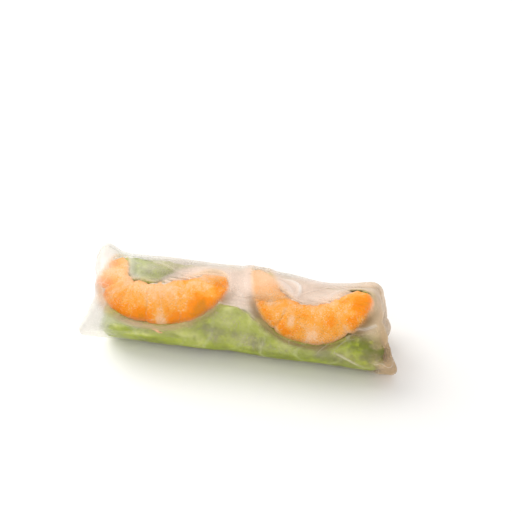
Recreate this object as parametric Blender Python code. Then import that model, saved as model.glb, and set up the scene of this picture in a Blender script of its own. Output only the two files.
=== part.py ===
"""A rice paper roll with two halved prawns, lettuce and rice noodles, lying on its side.

The roll lies along X, its front faces -Y, and it rests on the plane z = 0.  Everything is
placed by three numbers: x along the roll, theta round it (0 degrees at the back, 90 on top,
180 at the front, 270 underneath) and the depth below the inner face of the paper.
All sizes are in metres and all angles in degrees.
"""

import bmesh
import bpy
import numpy as np

# Outer size of the roll
ROLL_LENGTH = 0.1212
ROLL_WIDTH = 0.0355
ROLL_HEIGHT = 0.0312

# Rice paper: one soaked sheet, wound a little under one and a half turns
PAPER = 0.0006
LAYER_GAP = 0.0003
SHEET_START = -40.0
LIFT_ANGLE = 24.0
FLAP_MIDDLE = 473.0
FLAP_SIDE = 425.0
FLAP_CENTRE_X = 0.005
FLAP_FLAT_HALF = 0.014
FLAP_SLOPE_LENGTH = 0.036

# How the paper closes the ends
RIM_RADIUS = 0.0028
RIM_STEPS = 3
FACE_STEPS = 4
HOLE_SHARE = 0.13
DISH_DEPTH = 0.0035
RIGHT_LEAN = 0.0045
LEFT_PINCH = 0.0020
END_CORNER = 225.0
# How far the empty paper flares out at each end's front foot, round which angle and how widely
END_FLARES = {"left": (0.0046, 205.0, 42.0), "right": (0.0026, 218.0, 30.0)}

# The underside, pressed flat by the roll's own weight
FLAT_DEPTH = 0.0015
FLAT_BLEND = 0.0006

# Soft unevenness of the roll: (x, theta, height, reach along x, reach round in degrees)
SWELLINGS = (
    (0.031, 55.0, -0.0028, 0.014, 55.0),
    (-0.031, 140.0, 0.0007, 0.018, 35.0),
    (0.026, 138.0, 0.0007, 0.018, 32.0),
    (-0.004, 215.0, -0.0006, 0.010, 30.0),
)

# Halved prawns, curled on the inside of the paper, on the side that PRAWN_SIDE faces.
# Each line is a place on the prawn's curled middle line, from left to right, and the
# prawn's half width there: (x, theta, half width).
PRAWN_SIDE = 100.0
PRAWN_DEPTH = 0.00060
PRAWN_THICK = 0.0062
PRAWN_FLATNESS = 0.8
PRAWN_SEGMENTS = 7
SEGMENT_RELIEF = 0.05
PRAWNS = {
    "prawn_left": (
        (-0.0506, 72.0, 0.0025),
        (-0.0504, 88.0, 0.0047),
        (-0.0496, 109.0, 0.0063),
        (-0.0460, 128.0, 0.0074),
        (-0.0395, 134.5, 0.0087),
        (-0.0315, 136.5, 0.0088),
        (-0.0240, 129.5, 0.0091),
        (-0.0170, 118.5, 0.0082),
        (-0.0115, 104.0, 0.0064),
        (-0.0075, 91.0, 0.0038),
    ),
    "prawn_right": (
        (0.0046, 57.0, 0.0034),
        (0.0064, 74.0, 0.0047),
        (0.0092, 97.0, 0.0058),
        (0.0133, 117.0, 0.0072),
        (0.0192, 132.5, 0.0078),
        (0.0256, 138.5, 0.0082),
        (0.0323, 136.0, 0.0086),
        (0.0386, 124.5, 0.0085),
        (0.0430, 107.0, 0.0081),
        (0.0444, 90.0, 0.0065),
        (0.0440, 75.0, 0.0034),
    ),
}

# Lettuce: a folded leaf that wraps the noodles from the front, underneath, to the back
LEAF_DEPTH = 0.00070
LEAF_THICK = 0.0028
LEAF_EDGE_THICK = 0.0008
LEAF_FRONT = 147.0
LEAF_TONGUE = 23.0
LEAF_TONGUE_X = -0.003
LEAF_TONGUE_REACH = 0.011
LEAF_BACK = 420.0
LEAF_EDGE_REACH = 30.0

# Noodles: the bundle that the leaf holds
NOODLE_DEPTH = 0.0008
PIECE_GAP = 0.0005

# The filling stops short of the paper's ends, whose lean it follows in part
FILLING_END_GAP = 0.0065
FILLING_LEAN_SHARE = 0.6
END_ROUNDING = 0.0045
END_ROUNDING_REACH = 0.009

# The prawns press the filling in below them, over their own outline and a slope round it
PRAWN_ROOM_FULL = 0.0012
PRAWN_ROOM_RAMP = 0.0045

# Materials: colour and roughness
RICE_PAPER_LOOK = ((0.86, 0.80, 0.70), 0.35)
LETTUCE_LOOK = ((0.36, 0.42, 0.12), 0.55)
NOODLE_LOOK = ((0.84, 0.78, 0.68), 0.45)
PRAWN_LOOK = ((0.90, 0.36, 0.08), 0.45)

# Fineness of the meshes
SHARP_ANGLE = 50.0
BARREL_STATIONS = 18
TURN_COLUMNS = 28
FLAP_COLUMNS = 12
FILLING_STATIONS = 21
LEAF_COLUMNS = 23
BARE_COLUMNS = 8
PRAWN_STATIONS = 25
PRAWN_RING = 12
PRAWN_LINE_STEPS = 60

HALF_WIDTH = ROLL_WIDTH / 2 - PAPER
HALF_HEIGHT = (ROLL_HEIGHT + FLAT_DEPTH) / 2 - PAPER
MEAN_RADIUS = (HALF_WIDTH + HALF_HEIGHT) / 2


def smooth(share):
    """0 below 0, 1 above 1, and an S curve between."""
    share = np.clip(share, 0.0, 1.0)
    return share * share * (3.0 - 2.0 * share)


def angle_between(theta, middle):
    """The signed angle from middle to theta, between -180 and 180 degrees."""
    return (theta - middle + 180.0) % 360.0 - 180.0


def swelling(x, theta):
    """How far the roll bulges out, or in, at this place."""
    total = np.zeros(np.broadcast(x, theta).shape)
    for at_x, at_theta, height, reach_x, reach_theta in SWELLINGS:
        along = (x - at_x) / reach_x
        around = angle_between(theta, at_theta) / reach_theta
        total = total + height * np.exp(-(along**2) - around**2)
    return total


def roll_point(x, theta, share=1.0, depth=0.0):
    """A point share of the way from the axis to the paper's inner face, and depth below it."""
    turn = np.radians(theta)
    y = HALF_WIDTH * np.cos(turn)
    z = HALF_HEIGHT * np.sin(turn)
    radius = np.hypot(y, z)
    scale = share * (radius + swelling(x, theta)) / radius - depth / radius
    above_floor = z * scale + HALF_HEIGHT - FLAT_DEPTH - depth
    blend = np.clip(above_floor + FLAT_BLEND, 0.0, None)
    curved = np.where(above_floor > FLAT_BLEND, above_floor, blend**2 / (4 * FLAT_BLEND))
    return np.stack([x + 0 * z, y * scale, PAPER + depth + curved], axis=-1)


def end_x(side, theta, share):
    """Where an end's rim, or the same part of its face nearer the axis, lies along X.

    The right end leans out at the front foot; the left one stands out at foot and top.
    At both front feet the empty paper flares out, more so at the left one.
    """
    turn = np.radians(theta - END_CORNER)
    most, middle, reach = END_FLARES[side]
    flare = most * share**2 * np.exp(-((angle_between(theta, middle) / reach) ** 2))
    if side == "right":
        return ROLL_LENGTH / 2 - RIGHT_LEAN * (1 - share * np.cos(turn)) + flare
    return -ROLL_LENGTH / 2 + LEFT_PINCH * (1 - share * np.cos(2 * turn)) - flare


def flap_end(x):
    """The winding angle where the outer flap of the sheet ends: a wide tongue."""
    beside = (np.abs(x - FLAP_CENTRE_X) - FLAP_FLAT_HALF) / FLAP_SLOPE_LENGTH
    return FLAP_MIDDLE + (FLAP_SIDE - FLAP_MIDDLE) * smooth(beside)


def end_profile():
    """The section from the barrel over the rim to the middle of an end, as (inset, share)."""
    rim_share = RIM_RADIUS / MEAN_RADIUS
    profile = []
    for step in range(RIM_STEPS + 1):
        turn = np.pi / 2 * step / RIM_STEPS
        profile.append((RIM_RADIUS * (1 - np.sin(turn)), 1 - rim_share * (1 - np.cos(turn))))
    for step in range(1, FACE_STEPS + 1):
        across = step / FACE_STEPS
        share = (1 - rim_share) * (1 - across) + HOLE_SHARE * across
        profile.append((DISH_DEPTH * across**1.5, share))
    return profile


def paper_stations():
    """(place along the roll from 0 to 1, inset from that end, share) from left to right."""
    profile = end_profile()
    left = [(0.0, inset, share) for inset, share in reversed(profile)]
    right = [(1.0, inset, share) for inset, share in profile]
    barrel = [(step / BARREL_STATIONS, RIM_RADIUS, 1.0) for step in range(1, BARREL_STATIONS)]
    return left + barrel + right


def paper_sheet():
    """The sheet's inner face as a grid of points, and how far each is lifted by the layer below."""
    points, lifts = [], []
    for place, inset, share in paper_stations():
        flap = flap_end((place - 0.5) * ROLL_LENGTH)
        turn = np.linspace(SHEET_START, SHEET_START + 360.0, TURN_COLUMNS + 1)
        outer = np.linspace(SHEET_START + 360.0, flap, FLAP_COLUMNS + 1)[1:]
        winding = np.concatenate([turn, outer])
        left = end_x("left", winding, share) + inset
        right = end_x("right", winding, share) - inset
        points.append(roll_point(left + place * (right - left), winding, share))
        lifted = (winding - SHEET_START - 360.0 + LIFT_ANGLE) / LIFT_ANGLE
        lifts.append((PAPER + LAYER_GAP) * smooth(lifted))
    return np.array(points), np.array(lifts)


def outward_normals(points):
    """Unit normals of a grid of points, pointing away from the roll's axis."""
    along = np.gradient(points, axis=0)
    around = np.gradient(points, axis=1)
    normals = np.cross(around, along)
    return normals / np.linalg.norm(normals, axis=-1, keepdims=True)


def split_quad(a, b, c, d):
    """The two triangles of a four-cornered face, so that neighbouring pieces bend alike."""
    return [[a, b, c], [a, c, d]]


def closed_slab(outer, inner):
    """Vertices and faces of the solid between two grids of the same size."""
    rows, columns = outer.shape[:2]
    vertices = np.concatenate([outer.reshape(-1, 3), inner.reshape(-1, 3)])
    index = np.arange(rows * columns).reshape(rows, columns)
    lower = index + rows * columns
    faces = []
    for row in range(rows - 1):
        for column in range(columns - 1):
            here, beside = (row, column), (row, column + 1)
            above, across = (row + 1, column), (row + 1, column + 1)
            faces += split_quad(index[here], index[beside], index[across], index[above])
            faces += split_quad(lower[here], lower[above], lower[across], lower[beside])
    rim = [(0, column) for column in range(columns)]
    rim += [(row, columns - 1) for row in range(1, rows)]
    rim += [(rows - 1, column) for column in range(columns - 2, -1, -1)]
    rim += [(row, 0) for row in range(rows - 2, 0, -1)]
    for here, ahead in zip(rim, rim[1:] + rim[:1]):
        faces += split_quad(index[ahead], index[here], lower[here], lower[ahead])
    return vertices, faces


def closed_rings(rings):
    """Vertices and faces of the solid through a row of rings, with a fan at each end."""
    count, size = rings.shape[:2]
    tips = np.stack([rings[0].mean(axis=0), rings[-1].mean(axis=0)])
    vertices = np.concatenate([rings.reshape(-1, 3), tips])
    first_tip, last_tip = count * size, count * size + 1
    last_ring = (count - 1) * size
    faces = []
    for step in range(size):
        ahead = (step + 1) % size
        for low in range(0, last_ring, size):
            high = low + size
            faces += split_quad(low + step, low + ahead, high + ahead, high + step)
        faces.append([first_tip, ahead, step])
        faces.append([last_tip, last_ring + step, last_ring + ahead])
    return vertices, faces


def add_piece(name, shape, look):
    """Adds a closed solid as one named object with its own material."""
    vertices, faces = shape
    colour, roughness = look
    mesh = bpy.data.meshes.new(name)
    mesh.from_pydata([tuple(point) for point in vertices], [], [[int(i) for i in face] for face in faces])
    work = bmesh.new()
    work.from_mesh(mesh)
    bmesh.ops.recalc_face_normals(work, faces=work.faces)
    work.to_mesh(mesh)
    work.free()
    mesh.shade_smooth()
    mesh.set_sharp_from_angle(angle=np.radians(SHARP_ANGLE))
    material = bpy.data.materials.new(name)
    material.use_nodes = True
    shader = material.node_tree.nodes["Principled BSDF"]
    shader.inputs["Base Color"].default_value = (*colour, 1.0)
    shader.inputs["Roughness"].default_value = roughness
    shader.inputs["Metallic"].default_value = 0.0
    mesh.materials.append(material)
    piece = bpy.data.objects.new(name, mesh)
    bpy.context.scene.collection.objects.link(piece)
    return piece


def rice_paper():
    """The wound sheet: its two faces, closed along the edges."""
    inner, lifts = paper_sheet()
    normals = outward_normals(inner)
    outer = inner + normals * (lifts + PAPER)[..., None]
    inner = inner + normals * lifts[..., None]
    outer[..., 2] = np.maximum(outer[..., 2], 0.0)
    return closed_slab(outer, inner)


def through(values, along):
    """A smooth curve through evenly spaced values, read at along from 0, the first, to 1, the last."""
    values = np.asarray(values)
    place = np.clip(along, 0.0, 1.0) * (len(values) - 1)
    left = np.minimum(place.astype(int), len(values) - 2)
    part = place - left
    slope = np.gradient(values)
    start, end = values[left], values[left + 1]
    bend_in = slope[left] * part * (1 - part) ** 2
    bend_out = slope[left + 1] * part**2 * (1 - part)
    return start + (end - start) * smooth(part) + bend_in - bend_out


def prawn_line(prawn, along):
    """The middle line on the unrolled paper: x, the arc length from theta = 0, and half width."""
    x, theta, width = np.transpose(prawn)
    segments = 1 + SEGMENT_RELIEF * (np.abs(np.sin(np.pi * PRAWN_SEGMENTS * along)) - 0.5)
    arc = np.radians(through(theta, along)) * MEAN_RADIUS
    return through(x, along), arc, through(width, along) * segments


def prawn_solid(prawn):
    """A curled, tapering body, flattened where the paper presses on it."""
    along = np.linspace(0.0, 1.0, PRAWN_STATIONS)
    x, arc, width = prawn_line(prawn, along)
    step_x, step_arc = np.gradient(x), np.gradient(arc)
    length = np.hypot(step_x, step_arc)
    thick = PRAWN_THICK * np.sqrt(width / width.max())
    rings = []
    for beta in 2 * np.pi * np.arange(PRAWN_RING) / PRAWN_RING:
        across = width * np.cos(beta)
        out = np.sign(np.sin(beta)) * np.abs(np.sin(beta)) ** PRAWN_FLATNESS
        ring_x = x - across * step_arc / length
        ring_theta = np.degrees((arc + across * step_x / length) / MEAN_RADIUS)
        depth = PRAWN_DEPTH + thick / 2 * (1 - out)
        rings.append(roll_point(ring_x, ring_theta, depth=depth))
    return closed_rings(np.stack(rings, axis=1))


def prawn_room(x, theta):
    """How deep the prawns press the filling below them at this place."""
    needed = np.zeros(np.broadcast(x, theta).shape)
    along = np.linspace(0.0, 1.0, PRAWN_LINE_STEPS)
    for prawn in PRAWNS.values():
        line_x, line_arc, width = prawn_line(prawn, along)
        arc = np.radians(angle_between(theta, PRAWN_SIDE) + PRAWN_SIDE) * MEAN_RADIUS
        apart = np.hypot(x[..., None] - line_x, arc[..., None] - line_arc) - width
        share = 1 - smooth((apart.min(axis=-1) - PRAWN_ROOM_FULL) / PRAWN_ROOM_RAMP)
        needed = np.maximum(needed, (PRAWN_DEPTH + PRAWN_THICK + PIECE_GAP) * share)
    return needed


def filling_x(place, theta):
    """Where the filling's station at place, from 0 at its left end to 1, lies along X."""
    left = end_x("left", theta, FILLING_LEAN_SHARE) + FILLING_END_GAP
    right = end_x("right", theta, FILLING_LEAN_SHARE) - FILLING_END_GAP
    return left + place * (right - left)


def end_rounding(place, theta):
    """How much deeper the filling lies near its two ends."""
    length = filling_x(1.0, theta) - filling_x(0.0, theta)
    from_end = np.minimum(place, 1 - place) * length
    return END_ROUNDING * (1 - smooth(from_end / END_ROUNDING_REACH)) ** 2


def leaf_front(x):
    """The angle of the leaf's front edge, which reaches up between the prawns."""
    return LEAF_FRONT - LEAF_TONGUE * np.exp(-(((x - LEAF_TONGUE_X) / LEAF_TONGUE_REACH) ** 2))


def leaf_depths(place, x, theta):
    """The depths of the leaf's outer and inner face."""
    from_edge = np.minimum(theta - leaf_front(x), LEAF_BACK - theta)
    thick = LEAF_EDGE_THICK + (LEAF_THICK - LEAF_EDGE_THICK) * smooth(from_edge / LEAF_EDGE_REACH)
    outer = np.maximum(LEAF_DEPTH, prawn_room(x, theta)) + end_rounding(place, theta)
    return outer, outer + thick


def leaf_angles(place):
    """The angles round the roll, from the leaf's front edge to its back one, of one station."""
    theta = np.linspace(LEAF_FRONT, LEAF_BACK, LEAF_COLUMNS + 1)
    shift = leaf_front(filling_x(place, theta)) - LEAF_FRONT
    return theta + shift * (LEAF_BACK - theta) / (LEAF_BACK - LEAF_FRONT)


def lettuce():
    """The folded leaf: a wall that is open at the top and at both ends."""
    outer, inner = [], []
    for place in np.linspace(0.0, 1.0, FILLING_STATIONS):
        theta = leaf_angles(place)
        x = filling_x(place, theta)
        outer_depth, inner_depth = leaf_depths(place, x, theta)
        outer.append(roll_point(x, theta, depth=outer_depth))
        inner.append(roll_point(x, theta, depth=inner_depth))
    return closed_slab(np.array(outer), np.array(inner))


def noodles():
    """The bundle inside the leaf, which shows on top between the leaf's two edges."""
    rings = []
    for place in np.linspace(0.0, 1.0, FILLING_STATIONS):
        covered = leaf_angles(place)
        bare = np.linspace(covered[-1], covered[0] + 360.0, BARE_COLUMNS + 1)[1:-1]
        covered_x, bare_x = filling_x(place, covered), filling_x(place, bare)
        below_leaf = leaf_depths(place, covered_x, covered)[1] + PIECE_GAP
        bare_depth = np.maximum(NOODLE_DEPTH, prawn_room(bare_x, bare)) + end_rounding(place, bare)
        x = np.concatenate([covered_x, bare_x])
        theta = np.concatenate([covered, bare])
        rings.append(roll_point(x, theta, depth=np.concatenate([below_leaf, bare_depth])))
    return closed_rings(np.array(rings))


def stand_on_origin(pieces, outermost):
    """Parents the pieces to one empty, so that the roll's box is centred over the origin."""
    corners = np.array(outermost.bound_box)
    middle = (corners.min(axis=0) + corners.max(axis=0)) / 2
    roll = bpy.data.objects.new("roll", None)
    bpy.context.scene.collection.objects.link(roll)
    roll.location = (-middle[0], -middle[1], 0.0)
    for piece in pieces:
        piece.parent = roll


def build():
    for old in list(bpy.data.objects):
        bpy.data.objects.remove(old)
    paper = add_piece("rice_paper", rice_paper(), RICE_PAPER_LOOK)
    leaf = add_piece("lettuce", lettuce(), LETTUCE_LOOK)
    bundle = add_piece("noodles", noodles(), NOODLE_LOOK)
    pieces = [paper, leaf, bundle]
    for name, prawn in PRAWNS.items():
        pieces.append(add_piece(name, prawn_solid(prawn), PRAWN_LOOK))
    stand_on_origin(pieces, paper)


build()
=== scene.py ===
"""How the rice paper roll looks: a wet, half clear sheet wound round prawns, lettuce and noodles.

Places on the roll are given as in the model: x along it, theta round it (0 degrees at the
back, 90 on top, 180 at the front, 270 underneath) and the depth below the paper's inner face.
Sizes are in metres and angles in degrees.  The skin functions repeat the model's own ones.
"""

import bmesh
import bpy
import numpy as np
from mathutils import Matrix, Vector
from mathutils.bvhtree import BVHTree


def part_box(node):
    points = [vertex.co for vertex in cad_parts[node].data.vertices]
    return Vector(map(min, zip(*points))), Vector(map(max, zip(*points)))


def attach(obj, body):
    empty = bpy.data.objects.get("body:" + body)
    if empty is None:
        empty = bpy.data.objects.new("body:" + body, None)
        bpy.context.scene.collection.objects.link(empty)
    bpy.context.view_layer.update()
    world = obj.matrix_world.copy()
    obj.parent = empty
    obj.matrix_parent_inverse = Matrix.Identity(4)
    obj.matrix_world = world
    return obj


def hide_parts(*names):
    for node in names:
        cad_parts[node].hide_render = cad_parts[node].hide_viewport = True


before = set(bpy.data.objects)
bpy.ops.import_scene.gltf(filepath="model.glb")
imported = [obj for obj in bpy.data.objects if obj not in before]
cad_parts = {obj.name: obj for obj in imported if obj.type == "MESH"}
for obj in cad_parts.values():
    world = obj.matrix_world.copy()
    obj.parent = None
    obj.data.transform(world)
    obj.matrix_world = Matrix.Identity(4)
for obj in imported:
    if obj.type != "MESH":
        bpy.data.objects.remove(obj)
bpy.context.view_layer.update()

# ---- The roll's form, as in the model ----

PAPER_LOW, PAPER_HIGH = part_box("rice_paper")
# How far the model moves the roll to centre its box
AXIS_SHIFT = np.array([0.000774, -0.000348, 0.0])
ROLL_LENGTH = 0.1212
ROLL_WIDTH = 0.0355
ROLL_HEIGHT = 0.0312
PAPER = 0.0006
LAYER_GAP = 0.0003
SHEET_START = -40.0
LIFT_ANGLE = 24.0
RIM_RADIUS = 0.0028
HOLE_SHARE = 0.03
DISH_DEPTH = 0.0035
RIGHT_LEAN = 0.0045
LEFT_PINCH = 0.002
END_CORNER = 225.0
# Where each rim flares out: (how far, theta, reach in theta)
FLARES = {"left": (0.0046, 205.0, 42.0), "right": (0.0026, 218.0, 30.0)}
FLAT_DEPTH = 0.0015
FLAT_BLEND = 0.0006
# (x, theta, reach in x, reach in theta, how far out)
SWELLINGS = (
    (0.031, 55, 0.014, 55, -0.0028), (-0.031, 140, 0.018, 35, 0.0007), (0.026, 138, 0.018, 32, 0.0007),
    (-0.004, 215, 0.01, 30, -0.0006),
)
FILLING_END_GAP = 0.0065
FILLING_LEAN_SHARE = 0.6
END_ROUNDING = 0.0045
END_ROUNDING_REACH = 0.009
HALF_WIDTH = ROLL_WIDTH / 2 - PAPER
HALF_HEIGHT = (ROLL_HEIGHT + FLAT_DEPTH) / 2 - PAPER
MEAN_RADIUS = (HALF_WIDTH + HALF_HEIGHT) / 2

# Prawns: (x, theta, half width) along the curled middle line, from left to right
PRAWN_SIDE = 100.0
PRAWN_THICK = 0.006
PRAWN_DEPTH = 0.00012
PRAWNS = {
    "prawn_left": (
        (-0.05, 67, 0.0027), (-0.0502, 86, 0.0048), (-0.0496, 109, 0.0063), (-0.046, 128, 0.0074),
        (-0.0395, 134.5, 0.0087), (-0.0315, 136.5, 0.0088), (-0.024, 129.5, 0.0091),
        (-0.017, 117, 0.0088), (-0.0115, 101, 0.0074), (-0.0072, 86, 0.0046),
    ),
    "prawn_right": (
        (0.004, 44, 0.0034), (0.0058, 66, 0.0046), (0.0092, 97, 0.0058), (0.0133, 117, 0.0072),
        (0.0192, 132.5, 0.0078), (0.0256, 138.5, 0.0082), (0.0323, 136, 0.0086),
        (0.0386, 124.5, 0.0085), (0.043, 107, 0.0081), (0.0444, 90, 0.0065), (0.044, 75, 0.0034),
    ),
}


def smooth(share):
    """0 below 0, 1 above 1, and an S curve between."""
    share = np.clip(share, 0.0, 1.0)
    return share * share * (3.0 - 2.0 * share)


def bell(distance, reach):
    """1 at distance 0, falling away over reach."""
    return np.exp(-((distance / reach) ** 2))


def angle_between(theta, middle):
    """The signed angle from middle to theta, between -180 and 180 degrees."""
    return (theta - middle + 180.0) % 360.0 - 180.0


def arc_length(theta):
    """The way round the roll from theta = 0 to theta, with theta kept near the prawns' side."""
    return np.radians(angle_between(theta, PRAWN_SIDE) + PRAWN_SIDE) * MEAN_RADIUS


def patch(x, theta, at_x, at_theta, reach_x, reach_theta):
    """1 at one place on the roll, falling away over its two reaches."""
    return bell(x - at_x, reach_x) * bell(angle_between(theta, at_theta), reach_theta)


def stacked(*parts):
    """Points, or values in threes, from their three parts."""
    return np.stack(np.broadcast_arrays(*parts), axis=-1)


def cover(base, share, top):
    """The base with a share of top over it."""
    return base + share * (top - base)


def through(values, along):
    """A smooth curve through evenly spaced values, read at along from 0 to 1."""
    values = np.asarray(values)
    place = np.clip(along, 0.0, 1.0) * (len(values) - 1)
    left = np.minimum(place.astype(int), len(values) - 2)
    part = place - left
    slope = np.gradient(values)
    start, end = values[left], values[left + 1]
    bend_in = slope[left] * part * (1 - part) ** 2
    bend_out = slope[left + 1] * part**2 * (1 - part)
    return start + (end - start) * smooth(part) + bend_in - bend_out


# ---- Seeded unevenness ----


def lattice_value(cell, seed):
    """A repeatable value from -1 to 1 for each cell of a three-dimensional lattice."""
    mixed = cell[..., 0] * 73856093 ^ cell[..., 1] * 19349663 ^ cell[..., 2] * 83492791
    mixed = (mixed ^ seed * 2654435761) & 0xFFFFFFFF
    mixed = ((mixed ^ mixed >> 15) * 2246822519) & 0xFFFFFFFF
    mixed = ((mixed ^ mixed >> 13) * 3266489917) & 0xFFFFFFFF
    mixed = mixed ^ mixed >> 16
    return (mixed & 0xFFFF) / 32767.5 - 1.0


def noise(points, cell, seed):
    """Smooth noise from -1 to 1 that changes over about one cell's length."""
    place = np.asarray(points) / cell + 1000.0
    base = np.floor(place).astype(np.int64)
    part = smooth(place - base)
    total = 0.0
    for corner in range(8):
        step = np.array([corner & 1, corner >> 1 & 1, corner >> 2 & 1])
        share = np.prod(np.where(step, part, 1 - part), axis=-1)
        total = total + share * lattice_value(base + step, seed)
    return total


def layered_noise(points, cell, seed):
    """Noise with half and quarter sized detail on it."""
    total = noise(points, cell, seed) + 0.5 * noise(points, cell / 2, seed + 1)
    return (total + 0.25 * noise(points, cell / 4, seed + 2)) / 1.75


def crumple(points, cell, seed):
    """0 to 1, with sharp ridges where the noise changes sign."""
    return 1 - np.abs(noise(points, cell, seed)) ** 0.7


# ---- The skin: the paper's inner face, pushed out by what lies under it ----

PAPER_SEEN = 0.0003
LINE_STATIONS = 60
FAR = 1.0
PRAWN_BULGE = 0.0006
PRAWN_BULGE_SLOPE = 0.003
TIP_RADIUS = 0.001
LUMP = 0.00035


def swelling(x, theta):
    """How far the roll bulges out, or in, at this place."""
    total = 0.0
    for *where, height in SWELLINGS:
        total = total + height * patch(x, theta, *where)
    return total


def prawn_line(prawn, along):
    """The middle line on the unrolled paper: x, the arc length and the half width."""
    x, theta, width = np.transpose(prawn)
    arc = np.radians(through(theta, along)) * MEAN_RADIUS
    return through(x, along), arc, through(width, along)


def outside_prawns(x, theta):
    """How far this place lies outside the nearest prawn's outline; negative inside it."""
    along = np.linspace(0.0, 1.0, LINE_STATIONS)
    nearest = np.full(np.broadcast(x, theta).shape, FAR)
    arc = arc_length(theta)
    for prawn in PRAWNS.values():
        line_x, line_arc, width = prawn_line(prawn, along)
        gone = np.cumsum(np.hypot(np.gradient(line_x), np.gradient(line_arc)))
        width = np.minimum(width, np.minimum(gone, gone[-1] - gone) + TIP_RADIUS)
        for at_x, at_arc, half in zip(line_x, line_arc, width):
            nearest = np.minimum(nearest, np.hypot(x - at_x, arc - at_arc) - half)
    return nearest


def relief(x, theta):
    """The lumps that the filling makes in the paper."""
    turn = np.radians(theta)
    place = stacked(x, HALF_WIDTH * np.cos(turn), HALF_HEIGHT * np.sin(turn))
    bulge = PRAWN_BULGE * (1 - smooth(outside_prawns(x, theta) / PRAWN_BULGE_SLOPE))
    return bulge + LUMP * noise(place, 0.011, 3)


def roll_point(x, theta, share=1.0, depth=0.0, out=0.0):
    """A point share of the way from the axis to the paper's inner face, and depth below it."""
    turn = np.radians(theta)
    y = HALF_WIDTH * np.cos(turn)
    z = HALF_HEIGHT * np.sin(turn)
    radius = np.hypot(y, z)
    scale = share * (radius + swelling(x, theta) + out) / radius - depth / radius
    above_floor = z * scale + HALF_HEIGHT - FLAT_DEPTH - depth
    blend = np.clip(above_floor + FLAT_BLEND, 0.0, None)
    curved = np.where(above_floor > FLAT_BLEND, above_floor, blend**2 / (4 * FLAT_BLEND))
    return stacked(x, y * scale, PAPER + depth + curved) + AXIS_SHIFT


def skin_point(x, theta, depth=0.0):
    """A point at a depth below the lumpy paper's inner face."""
    return roll_point(x, theta, depth=depth, out=relief(x, theta) + PAPER - PAPER_SEEN)


def end_x(side, theta, share):
    """Where an end's rim, or the same part of its face nearer the axis, lies along X."""
    turn = np.radians(theta - END_CORNER)
    flare_out, flare_theta, flare_reach = FLARES[side]
    flare = flare_out * share**2 * bell(angle_between(theta, flare_theta), flare_reach)
    if side == "right":
        return ROLL_LENGTH / 2 - RIGHT_LEAN * (1 - share * np.cos(turn)) + flare
    return -ROLL_LENGTH / 2 + LEFT_PINCH * (1 - share * np.cos(2 * turn)) - flare


def filling_x(place, theta):
    """Where the filling's station at place, from 0 at its left end to 1, lies along X."""
    left = end_x("left", theta, FILLING_LEAN_SHARE) + FILLING_END_GAP
    right = end_x("right", theta, FILLING_LEAN_SHARE) - FILLING_END_GAP
    return left + place * (right - left)


def end_rounding(place, theta):
    """How much deeper the filling lies near its two ends."""
    length = filling_x(1.0, theta) - filling_x(0.0, theta)
    from_end = np.minimum(place, 1 - place) * length
    return END_ROUNDING * (1 - smooth(from_end / END_ROUNDING_REACH)) ** 2


# ---- Meshes ----


def grid_faces(rows, columns, closed=False, offset=0, flip=False):
    """The four-cornered faces of a grid of points, joined round if closed."""
    row = np.arange(rows - 1)[:, None]
    column = np.arange(columns if closed else columns - 1)[None, :]
    ahead = (column + 1) % columns
    here = row * columns + column
    beside = row * columns + ahead
    faces = np.stack([here, beside, beside + columns, here + columns], axis=-1).reshape(-1, 4)
    return (faces[:, ::-1] if flip else faces) + offset


def slab_faces(rows, columns):
    """Faces of the closed solid between two grids, outer one first."""
    count = rows * columns
    index = np.arange(count).reshape(rows, columns)
    rim = np.concatenate([index[0], index[1:, -1], index[-1, -2::-1], index[-2:0:-1, 0]])
    ahead = np.roll(rim, -1)
    edge = np.stack([ahead, rim, rim + count, ahead + count], axis=-1)
    outer = grid_faces(rows, columns)
    inner = grid_faces(rows, columns, offset=count, flip=True)
    return np.concatenate([outer, inner, edge]), len(outer), len(inner)


def tube_faces(stations, ring, offset=0):
    """Faces of a closed tube: its wall, and a fan on each end's extra tip vertex."""
    wall = grid_faces(stations, ring, closed=True)
    step = np.arange(ring)
    ahead = (step + 1) % ring
    tip = stations * ring
    last = (stations - 1) * ring
    first_fan = np.stack([ahead, step, np.full(ring, tip)], axis=-1)
    last_fan = np.stack([last + step, last + ahead, np.full(ring, tip + 1)], axis=-1)
    fans = np.concatenate([first_fan, last_fan])
    return [tuple(face) for face in wall + offset] + [tuple(face) for face in fans + offset]


def normals_of(points):
    """Unit normals of a grid of points, pointing away from the roll's axis."""
    along = np.gradient(points, axis=0)
    around = np.gradient(points, axis=1)
    normals = np.cross(around, along)
    return normals / np.maximum(np.linalg.norm(normals, axis=-1, keepdims=True), 1e-12)


def put(name, data):
    """Adds one object to the scene."""
    added = bpy.data.objects.new(name, data)
    bpy.context.scene.collection.objects.link(added)
    return added


def add_mesh(name, vertices, faces, attributes, materials):
    """Adds one smooth-shaded piece, with its faces turned outwards and named values on its points."""
    mesh = bpy.data.meshes.new(name)
    mesh.from_pydata(np.asarray(vertices).tolist(), [], [[int(i) for i in face] for face in faces])
    for label, values in attributes.items():
        coloured = np.ndim(values) == 2
        layer = mesh.attributes.new(label, "FLOAT_COLOR" if coloured else "FLOAT", "POINT")
        layer.data.foreach_set("color" if coloured else "value", np.asarray(values, np.float32).ravel())
    work = bmesh.new()
    work.from_mesh(mesh)
    bmesh.ops.recalc_face_normals(work, faces=work.faces)
    work.to_mesh(mesh)
    work.free()
    mesh.shade_smooth()
    for material in materials:
        mesh.materials.append(material)
    return put(name, mesh)


def tube_piece(name, points, label, values, material):
    """One closed tube through rings of points, with a value for each point and then each tip."""
    tips = np.stack([points[0].mean(axis=0), points[-1].mean(axis=0)])
    vertices = np.concatenate([points.reshape(-1, 3), tips])
    return add_mesh(name, vertices, tube_faces(*points.shape[:2]), {label: values}, [material])


# ---- Materials ----


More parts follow.
